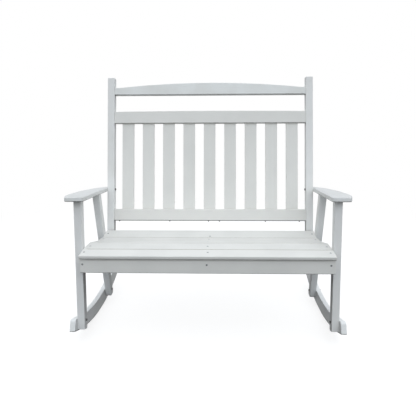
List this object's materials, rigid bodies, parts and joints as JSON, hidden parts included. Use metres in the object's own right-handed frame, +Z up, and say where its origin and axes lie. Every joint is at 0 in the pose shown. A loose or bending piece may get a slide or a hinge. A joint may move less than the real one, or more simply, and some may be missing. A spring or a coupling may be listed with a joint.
{
  "type": "rocking bench",
  "caption": "Slatted bench on two curved rockers, with a contoured seat, upright slats between arched back rails, and broad shaped arms on splayed legs.",
  "frame": {"origin": "middle of the footprint, on the floor under the rockers", "axes": "+Z up, -Y is the front that a sitter faces, X along the seat with +X on the right when the bench is seen from the front"},
  "size_m": [1.3046, 0.8502, 1.2447],
  "materials": {
    "painted_boards": "satin white paint on smooth boards",
    "dark_bolts": "dark zinc, dull"
  },
  "bodies": {
    "root": {"rocker_left": "painted_boards", "rocker_right": "painted_boards", "front_leg_left": "painted_boards", "front_leg_right": "painted_boards", "rear_leg_left": "painted_boards", "rear_leg_right": "painted_boards", "arm_left": "painted_boards", "arm_right": "painted_boards", "back_post_left": "painted_boards", "back_post_right": "painted_boards", "seat_support_left": "painted_boards", "seat_support_centre": "painted_boards", "seat_support_right": "painted_boards", "front_apron": "painted_boards", "rear_seat_rail": "painted_boards", "seat_board_1": "painted_boards", "seat_board_2": "painted_boards", "seat_board_3": "painted_boards", "seat_board_4": "painted_boards", "seat_board_5": "painted_boards", "top_rail": "painted_boards", "slat_rail": "painted_boards", "bottom_rail": "painted_boards", "back_slat_1": "painted_boards", "back_slat_2": "painted_boards", "back_slat_3": "painted_boards", "back_slat_4": "painted_boards", "back_slat_5": "painted_boards", "back_slat_6": "painted_boards", "back_slat_7": "painted_boards", "back_slat_8": "painted_boards", "back_slat_9": "painted_boards", "rocker_bolt_front_left": "dark_bolts", "rocker_bolt_rear_left": "dark_bolts", "seat_bolt_front_left": "dark_bolts", "seat_bolt_rear_left": "dark_bolts", "post_bolt_left": "dark_bolts", "arm_bolt_left": "dark_bolts", "rocker_bolt_front_right": "dark_bolts", "rocker_bolt_rear_right": "dark_bolts", "seat_bolt_front_right": "dark_bolts", "seat_bolt_rear_right": "dark_bolts", "post_bolt_right": "dark_bolts", "arm_bolt_right": "dark_bolts"}
  },
  "joints": []
}
